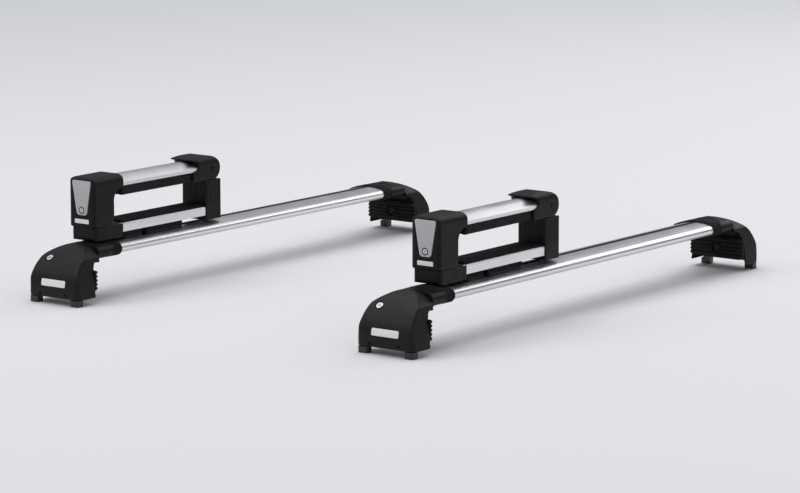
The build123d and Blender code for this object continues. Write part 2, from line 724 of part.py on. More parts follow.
def hinge_pin_part():
    """Steel pin across the cap's cheeks, carrying the arm on the slider's knuckle."""
    with BuildPart() as pin:
        with BuildSketch(Plane.YZ):
            with Locations((HINGE_PIN_Y, HINGE_PIN_Z)):
                Circle(HINGE_PIN_R)
        extrude(amount=CARRIER_HALF_WIDTH - 0.6, both=True)
        chamfer(pin.edges().filter_by(GeomType.CIRCLE), 0.5)
    return pin.part


def hinge_slider_part():
    """Upright slider with the hinge knuckle on top, which lets the whole arm rise."""
    with BuildPart() as slider:
        with BuildSketch(Plane.YZ):
            with Locations((HINGE_PIN_Y, HINGE_PIN_Z)):
                Circle(KNUCKLE_R)
            with Locations((HINGE_PIN_Y, (HINGE_PIN_Z + SLIDER_BOTTOM_Z) / 2)):
                Rectangle(2 * KNUCKLE_R, HINGE_PIN_Z - SLIDER_BOTTOM_Z)
        extrude(amount=KNUCKLE_HALF_WIDTH, both=True)
        with Locations((0, HINGE_PIN_Y, SLIDER_BOTTOM_Z + 19)):
            Box(2 * KNUCKLE_HALF_WIDTH - 8, 2 * KNUCKLE_R - 8, 40, mode=Mode.SUBTRACT)
        with BuildSketch(Plane.YZ):
            with Locations((HINGE_PIN_Y, HINGE_PIN_Z)):
                Circle(HINGE_PIN_R + RUNNING)
        extrude(amount=KNUCKLE_HALF_WIDTH + 1, both=True, mode=Mode.SUBTRACT)
    return slider.part


def hinge_base_part():
    """Fixed sleeve at the hinge end that guides the slider, with upright grip ribs outside."""
    y0 = LOWER_END
    y1 = 2 * HINGE_PIN_Y - LOWER_END
    rib_length = 37
    with BuildPart() as sleeve:
        with Locations((0, HINGE_PIN_Y, (CARRIER_BOTTOM_Z + BASE_TOP_Z) / 2)):
            Box(2 * CARRIER_HALF_WIDTH - 1, y1 - y0, BASE_TOP_Z - CARRIER_BOTTOM_Z)
        fillet(sleeve.edges().filter_by(Axis.Z), 2.5)
        with Locations((0, HINGE_PIN_Y, BASE_TOP_Z - 21)):
            with GridLocations(1, 7, 1, 5):
                Box(2 * CARRIER_HALF_WIDTH, 3, rib_length)
            with GridLocations(7, 1, 7, 1):
                Box(3, y1 - y0 + 1, rib_length)
        with Locations((0, HINGE_PIN_Y, (SLIDER_BOTTOM_Z + BASE_TOP_Z) / 2)):
            Box(
                2 * KNUCKLE_HALF_WIDTH + 0.8,
                2 * KNUCKLE_R + 0.8,
                BASE_TOP_Z - SLIDER_BOTTOM_Z + 0.6,
                mode=Mode.SUBTRACT,
            )
    return sleeve.part


def front_post_part():
    """End cap of the lower arm with the tongue that the lock housing closes over."""
    bottom = CARRIER_BOTTOM_Z
    with BuildPart() as post:
        with BuildSketch(Plane.YZ):
            with BuildLine():
                Polyline((8, bottom), (LOWER_START, bottom), (LOWER_START, 117.4), (3, 117.4), (3, 101))
                ThreePointArc((3, 101), (4.4, bottom + 1.8), (8, bottom))
            make_face()
        extrude(amount=CARRIER_HALF_WIDTH - 1, both=True)
        with BuildSketch(Plane.XY.offset(90)):
            add(rounded_front(CARRIER_HALF_WIDTH - 1, 3, 80, 7))
        extrude(amount=40, mode=Mode.INTERSECT)
        with BuildSketch(across(LOWER_START - 7)):
            add(rectangle(-ARM_HALF_WIDTH - 0.1, ARM_HALF_WIDTH + 0.1, LOWER_BOTTOM_Z, 130))
        extrude(amount=-20, mode=Mode.SUBTRACT)
        with BuildSketch(Plane.YZ):
            with BuildLine():
                Polyline((22.6, 116), (36, 116), (32, 139), (24.5, 139), (22.6, 137), (22.6, 116))
            make_face()
        extrude(amount=14, both=True)
    return post.part


def lower_profile_part():
    """Extruded lower arm lying along the bar, with two chambers and a groove underneath."""
    half = ARM_HALF_WIDTH
    with BuildPart() as profile:
        with BuildSketch(across(LOWER_START - 6.9)):
            add(rectangle(-half, half, LOWER_BOTTOM_Z + 0.1, LOWER_TOP_Z))
            add(rectangle(-half + 2, -8, LOWER_BOTTOM_Z + 2.5, LOWER_TOP_Z - 2), mode=Mode.SUBTRACT)
            add(rectangle(8, half - 2, LOWER_BOTTOM_Z + 2.5, LOWER_TOP_Z - 2), mode=Mode.SUBTRACT)
            add(rectangle(-6, 6, LOWER_BOTTOM_Z + 3, LOWER_BOTTOM_Z + 9), mode=Mode.SUBTRACT)
            add(rectangle(-3.5, 3.5, LOWER_BOTTOM_Z, LOWER_BOTTOM_Z + 4), mode=Mode.SUBTRACT)
        extrude(amount=-(LOWER_END - LOWER_START + 6.8))
        fillet(profile.edges().filter_by(Axis.Y).group_by(Axis.Z)[-1], 2)
    return profile.part


def lower_pad_part():
    """Soft rubber pad along the top of the lower arm, with lengthwise ribs."""
    half = ARM_HALF_WIDTH - 2.5
    with BuildPart() as pad:
        with BuildSketch(across(LOWER_START + 0.5)):
            add(rectangle(-half, half, LOWER_TOP_Z, LOWER_TOP_Z + 1.8))
            with Locations((0, LOWER_TOP_Z + 1.6)):
                with GridLocations(9, 1, 5, 1):
                    Ellipse(3.6, MOUTH_FLOOR_Z - LOWER_TOP_Z - 1.8)
            add(rectangle(-half, half, LOWER_TOP_Z - 5, LOWER_TOP_Z), mode=Mode.SUBTRACT)
        extrude(amount=-(LOWER_END - LOWER_START - 1))
    return pad.part


def mount_brackets_part():
    """Two feet under the lower arm, shaped to the bar's crown and bored for the slot bolts."""
    with BuildPart() as brackets:
        for y0, y1 in BRACKETS:
            with BuildSketch(Plane.XY.offset(BAR_TOP_Z - 3.5)):
                with Locations((0, (y0 + y1) / 2)):
                    RectangleRounded(46, y1 - y0, 5)
            extrude(amount=LOWER_BOTTOM_Z - BAR_TOP_Z + 3.5)
        with BuildSketch(across(0)):
            add(wing_section(0.5))
        extrude(amount=-300, mode=Mode.SUBTRACT)
        with BuildSketch(Plane.XY.offset(80)):
            with Locations(*[(0, y) for y in BOLT_STATIONS]):
                Circle(SLOT_BOLT_R + RUNNING)
        extrude(amount=30, mode=Mode.SUBTRACT)
    return brackets.part


def mount_bolts_part():
    """Three T-head bolts from the bar's slot up into the lower arm's groove, with their nuts."""
    with BuildPart() as bolts:
        with Locations(*[(0, y, SLOT_FLOOR_Z + 2) for y in BOLT_STATIONS]):
            Box(18, 12, 3)
        with BuildSketch(Plane.XY.offset(SLOT_FLOOR_Z + 3)):
            with Locations(*[(0, y) for y in BOLT_STATIONS]):
                Circle(SLOT_BOLT_R)
        extrude(amount=LOWER_BOTTOM_Z + 8 - SLOT_FLOOR_Z - 3)
        with BuildSketch(Plane.XY.offset(LOWER_BOTTOM_Z + 3.2)):
            with Locations(*[(0, y) for y in BOLT_STATIONS]):
                RegularPolygon(5.6, 6)
        extrude(amount=4)
    return bolts.part


# Feet: each corner's name, bar position and cover face. Left feet mirror the right ones.
CORNERS = (
    ("front_right", BAR_SPACING / 2, -FRONT_HALF_SPAN),
    ("front_left", BAR_SPACING / 2, FRONT_HALF_SPAN),
    ("rear_right", -BAR_SPACING / 2, -REAR_HALF_SPAN),
    ("rear_left", -BAR_SPACING / 2, REAR_HALF_SPAN),
)
FOOT_PIECES = {
    "foot_base": foot_base_part(),
    "foot_pad": foot_pad_part(),
    "foot_cover": foot_cover_part(),
    "cover_lock": cover_lock_part(),
    "clamp_bolt": clamp_bolt_part(),
    "rail_claw": rail_claw_part(),
}
for corner, bar_x, face_y in CORNERS:
    for piece, part in FOOT_PIECES.items():
        place(f"{piece}_{corner}", handed(part, face_y), Location((bar_x, face_y, 0)))

# Carriers: each bar's name, bar position and housing face
CARRIERS = (
    ("front", BAR_SPACING / 2, -FRONT_CARRIER_FACE),
    ("rear", -BAR_SPACING / 2, -REAR_CARRIER_FACE),
)
CARRIER_PIECES = {
    "front_post": front_post_part(),
    "lower_profile": lower_profile_part(),
    "lower_pad": lower_pad_part(),
    "mount_brackets": mount_brackets_part(),
    "mount_bolts": mount_bolts_part(),
    "hinge_base": hinge_base_part(),
    "hinge_slider": hinge_slider_part(),
    "hinge_cap": hinge_cap_part(),
    "hinge_pin": hinge_pin_part(),
    "upper_profile": upper_profile_part(),
    "upper_pad": upper_pad_part(),
    "lock_housing": lock_housing_part(),
    "release_button": release_button_part(),
    "button_lock": button_lock_part(),
    "latch_pawl": latch_pawl_part(),
    "button_spring": button_spring_part(),
}
for bar_name, bar_x, face_y in CARRIERS:
    for piece, part in CARRIER_PIECES.items():
        place(f"{piece}_{bar_name}", part, Location((bar_x, face_y, 0)))

# Crossbars, with their slot strips and collars
place("crossbar_front", crossbar_part(FRONT_HALF_SPAN - BAR_END_Y), Location((BAR_SPACING / 2, 0, 0)))
place("crossbar_rear", crossbar_part(REAR_HALF_SPAN - BAR_END_Y), Location((-BAR_SPACING / 2, 0, 0)))
collar = collar_part()
with BuildPart() as bar_collars:
    for corner, bar_x, face_y in CORNERS:
        with Locations((bar_x, face_y, 0)):
            add(handed(collar, face_y))
bar_collars.part.label = "bar_collars"
export_step(bar_collars.part, "parts/bar_collars.step")
with BuildPart() as slot_strips:
    for bar_x, half_span, carrier_face in (
        (BAR_SPACING / 2, FRONT_HALF_SPAN, -FRONT_CARRIER_FACE),
        (-BAR_SPACING / 2, REAR_HALF_SPAN, -REAR_CARRIER_FACE),
    ):
        cuts = [carrier_face + y for y in BOLT_STATIONS]
        starts = [COLLAR_END_Y - half_span] + [y + STRIP_GAP for y in cuts]
        ends = [y - STRIP_GAP for y in cuts] + [half_span - COLLAR_END_Y]
        for y0, y1 in zip(starts, ends):
            with Locations((bar_x, 0, 0)):
                add(strip_part(y0, y1))
slot_strips.part.label = "slot_strips"
export_step(slot_strips.part, "parts/slot_strips.step")
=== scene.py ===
"""Looks of the roof ski rack: finishes, soft rubber pads, blank badges, trims, fasteners and the studio."""
import json
import math

import bmesh
import bpy
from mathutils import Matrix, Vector


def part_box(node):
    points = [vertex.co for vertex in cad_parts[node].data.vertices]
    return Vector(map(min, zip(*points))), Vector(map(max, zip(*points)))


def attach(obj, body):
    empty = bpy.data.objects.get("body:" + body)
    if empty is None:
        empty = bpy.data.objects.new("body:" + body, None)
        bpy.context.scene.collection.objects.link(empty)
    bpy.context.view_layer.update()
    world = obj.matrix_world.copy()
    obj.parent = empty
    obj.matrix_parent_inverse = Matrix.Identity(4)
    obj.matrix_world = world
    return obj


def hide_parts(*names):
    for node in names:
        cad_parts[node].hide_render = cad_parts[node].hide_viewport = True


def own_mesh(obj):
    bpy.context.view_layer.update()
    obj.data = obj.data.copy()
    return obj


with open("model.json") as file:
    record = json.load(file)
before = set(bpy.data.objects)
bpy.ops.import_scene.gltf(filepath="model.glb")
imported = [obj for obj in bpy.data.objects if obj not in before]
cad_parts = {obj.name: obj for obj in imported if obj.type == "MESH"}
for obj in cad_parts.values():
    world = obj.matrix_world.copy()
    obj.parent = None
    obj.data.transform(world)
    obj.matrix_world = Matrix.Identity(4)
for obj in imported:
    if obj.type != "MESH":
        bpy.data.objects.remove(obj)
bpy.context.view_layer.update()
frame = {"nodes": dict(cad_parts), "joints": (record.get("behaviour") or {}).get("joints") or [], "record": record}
NODES = frame["nodes"]

CORNERS = ("front_right", "front_left", "rear_right", "rear_left")
CARRIERS = ("front", "rear")
MM = 0.001

# The bar's wing section in millimetres; its apex leans towards the nose
WING_ARC_R = 109.0
WING_HALF_HEIGHT = 11.25
WING_NOSE_R = 8.0
WING_TAIL_R = 1.6
WING_APEX_X = 6.5

# Foot cover's outline arc in millimetres: it leaves the upright at WAIST_Z and ends at the shoulder
WAIST_Z = 26.0
SHOULDER_Y = 20.0
SHOULDER_Z = 70.0
COVER_ARC_R = (SHOULDER_Y**2 + (SHOULDER_Z - WAIST_Z) ** 2) / (2 * SHOULDER_Y)

# Scales of the finishes' slow variations, in features per metre
TONE_SCALE = 14.0
GLOSS_SCALE = 55.0
WEAR_SCALE = 160.0
CLOUD_SCALE = 22.0

VOXEL = 1.0 * MM
FINE_VOXEL = 0.9 * MM


# ---------------------------------------------------------------- materials
def new_material(name):
    """Empty Principled material and helpers to add nodes and links to it."""
    mat = bpy.data.materials.new(name)
    mat.use_nodes = True
    tree = mat.node_tree
    shader = tree.nodes["Principled BSDF"]

    def node(kind, **settings):
        made = tree.nodes.new(kind)
        for key, value in settings.items():
            if key in made.inputs:
                made.inputs[key].default_value = value
            else:
                setattr(made, key, value)
        return made

    return mat, shader, node, tree.links.new


def noise(node, link, vector, scale, detail=2.0, rough=0.5):
    made = node("ShaderNodeTexNoise", Scale=scale, Detail=detail, Roughness=rough)
    link(vector, made.inputs["Vector"])
    return made.outputs["Fac"]


def remap(node, link, value, low, high, src=(0.3, 0.7)):
    made = node("ShaderNodeMapRange")
    made.inputs["From Min"].default_value = src[0]
    made.inputs["From Max"].default_value = src[1]
    made.inputs["To Min"].default_value = low
    made.inputs["To Max"].default_value = high
    link(value, made.inputs["Value"])
    return made.outputs["Result"]


def blend_colour(node, link, factor, first, second):
    made = node("ShaderNodeMix", data_type="RGBA")
    made.inputs[6].default_value = (*first, 1)
    made.inputs[7].default_value = (*second, 1)
    link(factor, made.inputs[0])
    return made


def edge_mask(node, link, radius, start, end):
    """1 on edges and 0 on open surfaces, from how far the rounded normal leans away from the true one."""
    rounded = node("ShaderNodeBevel", Radius=radius, samples=4)
    true = node("ShaderNodeNewGeometry")
    dot = node("ShaderNodeVectorMath", operation="DOT_PRODUCT")
    link(rounded.outputs["Normal"], dot.inputs[0])
    link(true.outputs["Normal"], dot.inputs[1])
    return rounded.outputs["Normal"], remap(node, link, dot.outputs["Value"], 1.0, 0.0, (start, end))


def grainy(name, low, high, rough, grain, bump, edge=0.0006, edge_colour=None, coat=0.0, specular=0.5):
    """Moulded or coated surface: slow tone variation, fine grain, softened and slightly rubbed edges."""
    mat, shader, node, link = new_material(name)
    where = node("ShaderNodeTexCoord").outputs["Object"]
    slow = remap(node, link, noise(node, link, where, TONE_SCALE, 4.0), 0, 1)
    tone = blend_colour(node, link, slow, low, high)
    normal, mask = edge_mask(node, link, edge, 0.80, 0.995)
    worn = blend_colour(node, link, mask, low, edge_colour or tuple(1.35 * c + 0.012 for c in high))
    broken = node("ShaderNodeMath", operation="MULTIPLY")
    link(mask, broken.inputs[0])
    link(remap(node, link, noise(node, link, where, WEAR_SCALE, 3.0), 0.1, 0.75), broken.inputs[1])
    link(broken.outputs[0], worn.inputs[0])
    link(tone.outputs[2], worn.inputs[6])
    link(worn.outputs[2], shader.inputs["Base Color"])
    link(remap(node, link, noise(node, link, where, GLOSS_SCALE, 4.0), *rough), shader.inputs["Roughness"])
    fine = node("ShaderNodeTexVoronoi", Scale=grain, feature="SMOOTH_F1")
    link(where, fine.inputs["Vector"])
    relief = node("ShaderNodeBump", Strength=bump, Distance=0.0002)
    link(fine.outputs["Distance"], relief.inputs["Height"])
    link(normal, relief.inputs["Normal"])
    link(relief.outputs["Normal"], shader.inputs["Normal"])
    shader.inputs["Specular IOR Level"].default_value = specular
    shader.inputs["Coat Weight"].default_value = coat
    shader.inputs["Coat Roughness"].default_value = 0.25
    return mat


def brushed(name, low, high, rough, stretch, scale, bump, edge=0.0004):
    """Metal with fine lines; stretch scales the coordinates, so the smallest factor runs along the lines."""
    mat, shader, node, link = new_material(name)
    where = node("ShaderNodeTexCoord").outputs["Object"]
    lines_at = node("ShaderNodeMapping")
    lines_at.inputs["Scale"].default_value = stretch
    link(where, lines_at.inputs["Vector"])
    lines = noise(node, link, lines_at.outputs["Vector"], scale, 3.0, 0.6)
    broad = noise(node, link, lines_at.outputs["Vector"], scale * 0.08, 2.0)
    clouds = noise(node, link, where, CLOUD_SCALE, 3.0)
    tone = blend_colour(node, link, remap(node, link, lines, 0, 1), low, high)
    deeper = node("ShaderNodeMix", data_type="RGBA", blend_type="MULTIPLY")
    link(remap(node, link, broad, 0.0, 0.35), deeper.inputs[0])
    link(tone.outputs[2], deeper.inputs[6])
    deeper.inputs[7].default_value = (0.86, 0.87, 0.89, 1)
    link(deeper.outputs[2], shader.inputs["Base Color"])
    both = node("ShaderNodeMath", operation="ADD")
    link(remap(node, link, lines, *rough), both.inputs[0])
    link(remap(node, link, clouds, -0.03, 0.05), both.inputs[1])
    link(both.outputs[0], shader.inputs["Roughness"])
    normal = node("ShaderNodeBevel", Radius=edge, samples=4).outputs["Normal"]
    relief = node("ShaderNodeBump", Strength=bump, Distance=0.0001)
    link(lines, relief.inputs["Height"])
    link(normal, relief.inputs["Normal"])
    link(relief.outputs["Normal"], shader.inputs["Normal"])
    shader.inputs["Metallic"].default_value = 1.0
    return mat


def grey(value, tint=0.0):
    return (value, value, value * (1 + tint))


FINISH = {
    "moulded_plastic": grainy(
        "moulded_plastic", grey(0.0050, 0.05), grey(0.0076, 0.05),
        rough=(0.34, 0.48), grain=1200.0, bump=0.6, specular=0.17,
    ),
    "cover_plastic": grainy(
        "cover_plastic", grey(0.0074, 0.03), grey(0.0106, 0.03),
        rough=(0.38, 0.52), grain=1200.0, bump=0.6, edge=0.0014, specular=0.21,
    ),
    "button_plastic": grainy(
        "button_plastic", grey(0.46, 0.02), grey(0.53, 0.02),
        rough=(0.38, 0.50), grain=1100.0, bump=0.40, edge=0.0007, edge_colour=grey(0.70),
    ),
    "rubber": grainy(
        "rubber", grey(0.005), grey(0.009),
        rough=(0.62, 0.80), grain=900.0, bump=0.6, edge=0.0005, edge_colour=grey(0.022), specular=0.25,
    ),
    "painted_steel": grainy(
        "painted_steel", grey(0.010), grey(0.015),
        rough=(0.34, 0.46), grain=700.0, bump=0.4, edge=0.0005, coat=0.2,
    ),
    "anodised_aluminium": brushed(
        "anodised_aluminium", grey(0.78, 0.015), grey(0.90, 0.015),
        rough=(0.29, 0.34), stretch=(1, 0.006, 1), scale=1100.0, bump=0.012,
    ),
    "lock_metal": brushed(
        "lock_metal", grey(0.55), grey(0.66),
        rough=(0.24, 0.32), stretch=(1, 1, 1), scale=900.0, bump=0.06, edge=0.0002,
    ),
    "steel": brushed(
        "steel", grey(0.50, 0.03), grey(0.66, 0.05),
        rough=(0.26, 0.42), stretch=(1, 1, 1), scale=500.0, bump=0.10, edge=0.0003,
    ),
}
BADGE_FINISH = grainy(
    "badge_print", grey(0.84, 0.01), grey(0.90, 0.01),
    rough=(0.34, 0.44), grain=1300.0, bump=0.12, edge=0.0003,
)
SLOT_OF = {entry["node"]: entry["material_slot"] for entry in frame["record"]["subparts"]}


# ---------------------------------------------------------------- mesh helpers
def object_from(name, verts, faces, body, finish, smooth=40.0):
    """Mesh object with its normals turned outwards, smooth where its faces meet below the angle."""
    mesh = bpy.data.meshes.new(name)
    mesh.from_pydata([tuple(v) for v in verts], [], faces)
    bm = bmesh.new()
    bm.from_mesh(mesh)
    bmesh.ops.remove_doubles(bm, verts=bm.verts, dist=1e-7)
    bmesh.ops.recalc_face_normals(bm, faces=bm.faces)
    bm.to_mesh(mesh)
    bm.free()
    mesh.shade_smooth()
    mesh.set_sharp_from_angle(angle=math.radians(smooth))
    obj = bpy.data.objects.new(name, mesh)
    bpy.context.scene.collection.objects.link(obj)
    if finish in FINISH:
        obj.data.materials.append(FINISH[finish])
    else:
        obj.data.materials.append(BADGE_FINISH)
    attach(obj, body)
    return obj


def loft(rings, close_start=True, close_end=True):
    """Vertices and faces through rings that all have the same number of points."""
    count = len(rings[0])
    verts = [p for ring in rings for p in ring]
    faces = []
    for r in range(len(rings) - 1):
        for i in range(count):
            j = (i + 1) % count
            faces.append((r * count + i, r * count + j, (r + 1) * count + j, (r + 1) * count + i))
    if close_start:
        faces.append(tuple(reversed(range(count))))
    if close_end:
        faces.append(tuple((len(rings) - 1) * count + i for i in range(count)))
    return verts, faces


def merge(*parts):
    """One vertex and face list out of several."""
    verts, faces = [], []
    for part_verts, part_faces in parts:
        start = len(verts)
        verts += part_verts
        faces += [tuple(start + i for i in face) for face in part_faces]
    return verts, faces


def joint(name):
    return next(entry for entry in frame["joints"] if entry["name"] == name)


def rounded_rect(half_w, half_h, radius, steps=6):
    """Points of a rounded rectangle about the origin, anticlockwise."""
    points = []
    for k, (sx, sy) in enumerate(((1, 1), (-1, 1), (-1, -1), (1, -1))):
        for i in range(steps + 1):
            a = math.radians(90 * k + 90 * i / steps)
            x = sx * (half_w - radius) + radius * math.cos(a)
            y = sy * (half_h - radius) + radius * math.sin(a)
            points.append((x, y))
    return points


def circle(radius, count=40):
    angles = [2 * math.pi * i / count for i in range(count)]
    return [(radius * math.cos(a), radius * math.sin(a)) for a in angles]


def hexagon(flat, count=40):
    """Points on a hexagon at the same angles as circle()."""
    points = []
    for i in range(count):
        a = 2 * math.pi * i / count
        r = flat / math.cos((a % (math.pi / 3)) - math.pi / 6)
        points.append((r * math.cos(a), r * math.sin(a)))
    return points


def wing_outline(grow, steps=14):
    """Points of the bar's wing section in millimetres, as (x, z) round its own mid height, grown evenly."""
    radius, nose_r, tail_r, apex_x = WING_ARC_R + grow, WING_NOSE_R + grow, WING_TAIL_R + grow, WING_APEX_X
    drop = WING_ARC_R - WING_HALF_HEIGHT
    nose_x = apex_x + math.sqrt((radius - nose_r) ** 2 - drop**2)
    tail_x = apex_x - math.sqrt((radius - tail_r) ** 2 - drop**2)
    nose_a = math.atan2(drop, nose_x - apex_x)
    tail_a = math.atan2(drop, tail_x - apex_x)
    top = [(apex_x + radius * math.cos(a), radius * math.sin(a) - drop)
           for a in (nose_a + (tail_a - nose_a) * i / steps for i in range(steps + 1))]
    tail = [(tail_x + tail_r * math.cos(a), tail_r * math.sin(a))
            for a in (tail_a + (math.tau - 2 * tail_a) * i / steps for i in range(1, steps))]
    nose = [(nose_x + nose_r * math.cos(a), nose_r * math.sin(a))
            for a in (-nose_a + 2 * nose_a * i / steps for i in range(1, steps))]
    return top + tail + [(x, -z) for x, z in reversed(top)] + nose


def closed_tube(points, normals, radius, count=10):
    """Round tube along a closed path; each normal is square to the surface that the tube lies on."""
    rings = []
    for i, (point, normal) in enumerate(zip(points, normals)):
        along = (points[(i + 1) % len(points)] - points[i - 1]).normalized()
        out = (normal - along * normal.dot(along)).normalized()
        side = along.cross(out)
        rings.append([point + (out * u + side * v) * MM for u, v in circle(radius, count)])
    return loft(rings + [rings[0]], False, False)


def frame_at(origin, normal, up):
    """Maps (u, v, out) in millimetres to the row frame: v along up, u across, out along the normal."""
    n = Vector(normal).normalized()
    v = (Vector(up) - n * Vector(up).dot(n)).normalized()
    u = v.cross(n)
    o = Vector(origin)
    return lambda a, b, c: o + (u * a + v * b + n * c) * MM


def pan_screw(at, radius, height):
    """Domed screw head with a hexagon socket, seated a little below the surface."""
    socket = 0.42 * radius
    dome_end = math.radians(72)
    steps = [(circle(radius), -0.4), (circle(radius), 0.35 * height)]
    for i in range(1, 5):
        a = math.radians(22.5 * i * 0.8)
        rise = height * (0.35 + 0.65 * math.sin(a) / math.sin(dome_end))
        steps.append((circle(radius - 0.5 * radius * (1 - math.cos(a))), rise))
    top = steps[-1][1]
    steps += [(hexagon(socket + 0.15), top), (hexagon(socket), top - 0.2)]
    steps.append((hexagon(socket), top - 0.6 * height))
    return loft([[at(u, v, z) for u, v in ring] for ring, z in steps])


def turned(at, profile):
    """Rings of a turned shape, one for each (radius, height) pair of its profile."""
    return [[at(u, v, z) for u, v in circle(r)] for r, z in profile]


def ring_trim(at, inner, outer, height):
    """Rounded ring lying on the surface."""
    profile = [(outer, -0.3), (outer, 0.35 * height), (outer - 0.25, 0.85 * height), (outer - 0.6, height),
               (inner + 0.5, height), (inner + 0.2, 0.8 * height), (inner, 0.3 * height), (inner, -0.3)]
    rings = turned(at, profile)
    return loft(rings + [rings[0]], False, False)


def softened(node, body, voxel, steps, weight):
    """Shell that stands for a sharp-edged CAD node: the same surface with moulded, rounded edges.
    weight(point) says from 0 to 1 how strongly the edges near a point are rounded."""
    name = f"{node}_shell"
    finish = SLOT_OF[node]
    mesh = NODES[node].data.copy()
    obj = bpy.data.objects.new(name, mesh)
    bpy.context.scene.collection.objects.link(obj)
    remesh = obj.modifiers.new("remesh", "REMESH")
    remesh.mode = "VOXEL"
    remesh.voxel_size = voxel
    graph = bpy.context.evaluated_depsgraph_get()
    obj.data = bpy.data.meshes.new_from_object(obj.evaluated_get(graph))
    obj.modifiers.clear()
    group = obj.vertex_groups.new(name="rounding")
    for vertex in obj.data.vertices:
        group.add([vertex.index], weight(vertex.co), "REPLACE")
    for factor, count, masked in ((0.5, 3, False), (0.5, steps, True)):
        smooth = obj.modifiers.new("smooth", "SMOOTH")
        smooth.factor = factor
        smooth.iterations = count
        if masked:
            smooth.vertex_group = "rounding"
    graph = bpy.context.evaluated_depsgraph_get()
    final = bpy.data.meshes.new_from_object(obj.evaluated_get(graph))
    obj.modifiers.clear()
    obj.vertex_groups.clear()
    obj.data = final
    final.name = name
    final.materials.clear()
    final.materials.append(FINISH[finish])
    final.shade_smooth()
    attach(obj, body)
    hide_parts(node)
    return obj


def ramp(value, start, end):
    """Smooth step from 0 at start to 1 at end."""
    t = min(1.0, max(0.0, (value - start) / (end - start)))
    return t * t * (3 - 2 * t)


def lobed_pad(name, node, body, low, high, lobes, depth, lobes_up):
    """Extruded rubber pad: rounded lobes along its length, two fine grooves in each flank, rounded ends."""
    samples = 8 * lobes
    half = (high.x - low.x) / 2
    mid = (high.x + low.x) / 2
    height = high.z - low.z
    section = []
    for i in range(samples + 1):
        t = i / samples
        wave = depth * (1 - abs(math.sin(math.pi * lobes * t)) ** 0.55)
        section.append((half * (2 * t - 1), wave))
    flank = [k * height for k in (0.30, 0.36, 0.39, 0.42, 0.48, 0.60, 0.66, 0.69, 0.72, 0.78)]
    pinch = [0, 0, 0.5 * MM, 0, 0, 0, 0, 0.5 * MM, 0, 0]
    section += [(half - cut, z) for z, cut in zip(flank, pinch)] + [(half, height), (-half, height)]
    section += [(-half + cut, z) for z, cut in zip(reversed(flank), reversed(pinch))]
    count = 48
    rings = []
    for k in range(count + 1):
        t = k / count
        end_gap = min(t, 1 - t) * (high.y - low.y)
        shrink = 1 - 0.05 * (1 - ramp(end_gap, 0, 2.5 * MM)) + 0.002 * math.sin(9.0 * t * math.tau)
        y = low.y + t * (high.y - low.y)
        ring = []
        for x, z in section:
            z_in = height - (height - z) * shrink
            ring.append(Vector((mid + x * shrink, y, low.z + (height - z_in if lobes_up else z_in))))
        rings.append(ring)
    obj = object_from(name, *loft(rings), body, "rubber", 35.0)
    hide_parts(node)
    return obj


# ---------------------------------------------------------------- CAD nodes keep their shapes
for node_name, obj in NODES.items():
    obj.data.materials.clear()
    obj.data.materials.append(FINISH[SLOT_OF[node_name]])

